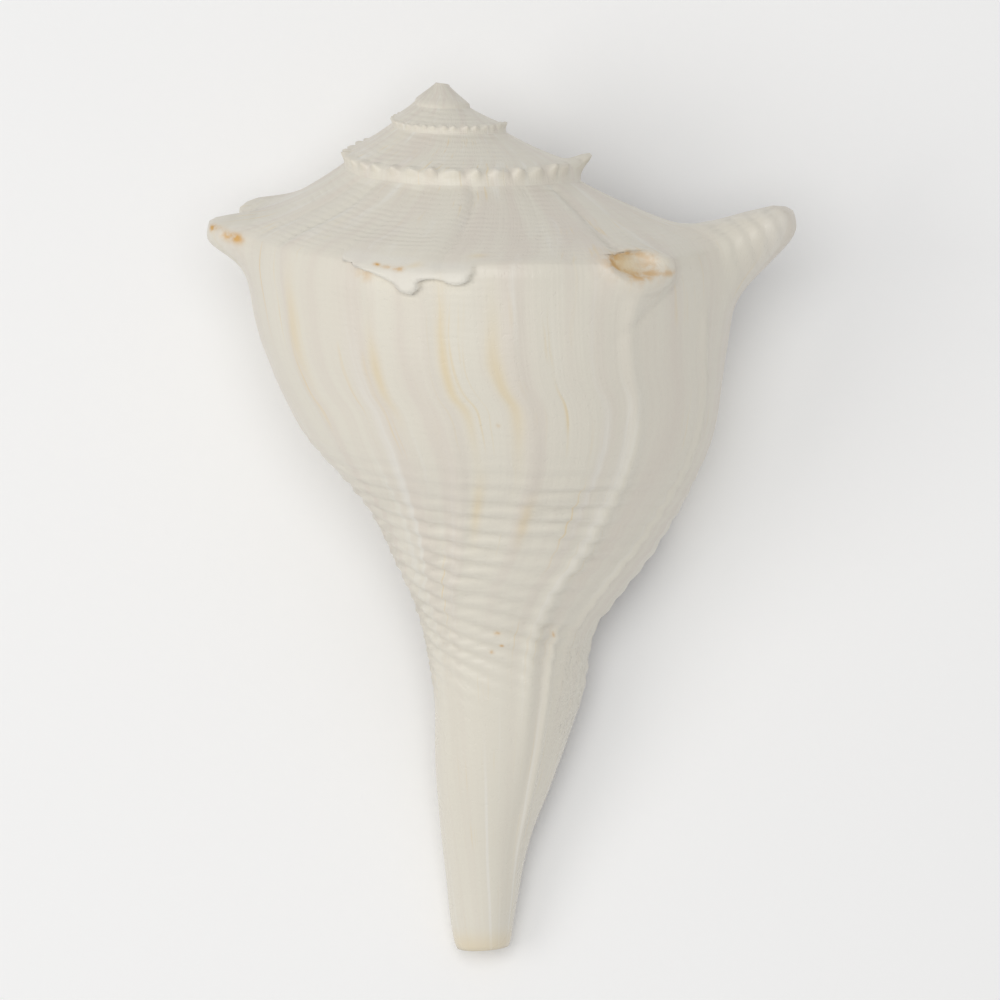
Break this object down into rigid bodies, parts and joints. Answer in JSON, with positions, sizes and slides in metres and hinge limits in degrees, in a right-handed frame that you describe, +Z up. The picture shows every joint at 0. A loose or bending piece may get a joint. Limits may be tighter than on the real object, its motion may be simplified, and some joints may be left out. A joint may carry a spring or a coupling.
{
  "type": "conch shell",
  "caption": "Bleached left-handed whelk shell with a stepped spire, knobbed shoulder, wide body and long tapering canal, lying on its opening with its back up.",
  "frame": {"origin": "on the table, under the centre of the shell's bounding box as it lies", "axes": "+Y towards the spire, +Z up from the table through the shell's back, +X towards the outer lip and its large spine"},
  "size_m": [0.149, 0.2178, 0.1063],
  "materials": {
    "shell": "bleached cream shell, satin, slightly glossier on the canal and inside the opening"
  },
  "bodies": {
    "root": {"whelk_shell": "shell"}
  },
  "joints": []
}
